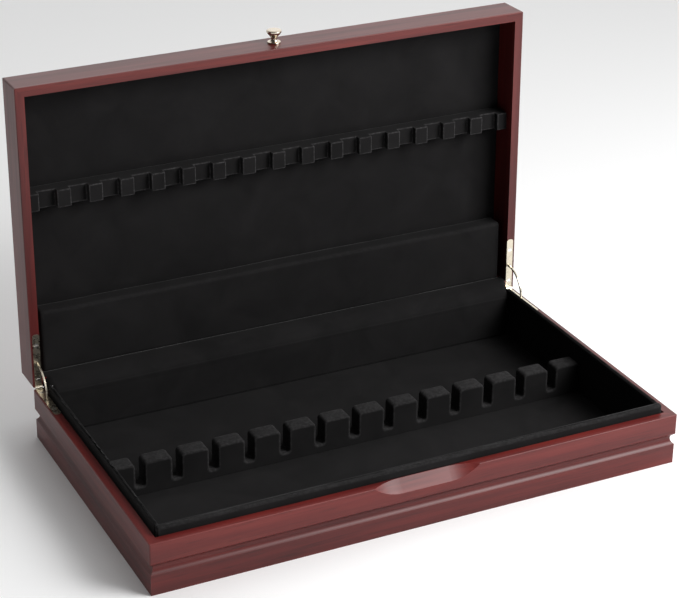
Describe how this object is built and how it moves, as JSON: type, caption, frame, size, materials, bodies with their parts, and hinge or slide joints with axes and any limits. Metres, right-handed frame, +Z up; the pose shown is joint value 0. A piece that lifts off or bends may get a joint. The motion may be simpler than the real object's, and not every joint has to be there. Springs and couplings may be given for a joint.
{
  "type": "presentation case",
  "caption": "Hinged wooden presentation case with a grooved base, a lid on quadrant stay hinges, a small knob, and velvet racks and wells for pens and a padded board in the lid.",
  "frame": {"origin": "bottom centre of the base", "axes": "+X along the long side, +Y from the front edge to the hinges, +Z up; the lid stands open"},
  "size_m": [0.47, 0.3048, 0.3265],
  "materials": {
    "wood": "satin lacquered red-brown hardwood",
    "velvet": "black velvet over board",
    "cloth": "black velvet cloth",
    "hinge_metal": "polished brass plate",
    "fixing_steel": "bright plated steel",
    "knob_metal": "satin brass"
  },
  "bodies": {
    "base": {"base_bottom_panel": "wood", "base_floor_board": "velvet", "base_front_rail": "wood", "base_left_rail": "wood", "base_liner_front": "velvet", "base_liner_left": "velvet", "base_liner_rear": "velvet", "base_liner_right": "velvet", "base_rack_bar": "velvet", "base_rack_block_01": "velvet", "base_rack_block_02": "velvet", "base_rack_block_03": "velvet", "base_rack_block_04": "velvet", "base_rack_block_05": "velvet", "base_rack_block_06": "velvet", "base_rack_block_07": "velvet", "base_rack_block_08": "velvet", "base_rack_block_09": "velvet", "base_rack_block_10": "velvet", "base_rack_block_11": "velvet", "base_rack_block_12": "velvet", "base_rack_block_13": "velvet", "base_rack_block_14": "velvet", "base_rear_rail": "wood", "base_right_rail": "wood", "hinge_base_leaf_left": "hinge_metal", "hinge_base_leaf_right": "hinge_metal", "hinge_base_screws": "fixing_steel", "hinge_cloth": "cloth", "hinge_pin_left": "fixing_steel", "hinge_pin_right": "fixing_steel"},
    "lid": {"hinge_lid_leaf_left": "hinge_metal", "hinge_lid_leaf_right": "hinge_metal", "hinge_lid_screws": "fixing_steel", "knob": "knob_metal", "knob_collar": "knob_metal", "knob_screw": "fixing_steel", "lid_front_rail": "wood", "lid_left_rail": "wood", "lid_lining_board": "velvet", "lid_pocket_board": "velvet", "lid_rack_bar": "velvet", "lid_rack_blocks": "velvet", "lid_rear_rail": "wood", "lid_right_rail": "wood", "lid_top_panel": "wood"},
    "stay_left": {"hinge_stay_left": "hinge_metal"},
    "stay_right": {"hinge_stay_right": "hinge_metal"}
  },
  "joints": [
    {"name": "lid_hinge", "type": "hinge", "parent": "base", "child": "lid", "pos_m": [0, 0.1345, 0.0462], "axis": [1, 0, 0], "range_deg": [0, 91], "deforming": ["hinge_cloth"]},
    {"name": "stay_left_turn", "type": "hinge", "parent": "base", "child": "stay_left", "pos_m": [0, 0.1345, 0.0462], "axis": [1, 0, 0], "range_deg": [0, 46]},
    {"name": "stay_right_turn", "type": "hinge", "parent": "base", "child": "stay_right", "pos_m": [0, 0.1345, 0.0462], "axis": [1, 0, 0], "range_deg": [0, 46]}
  ],
  "couplings": [
    {"joint": "stay_left_turn", "follows": "lid_hinge", "ratio": 0.5},
    {"joint": "stay_right_turn", "follows": "lid_hinge", "ratio": 0.5}
  ]
}
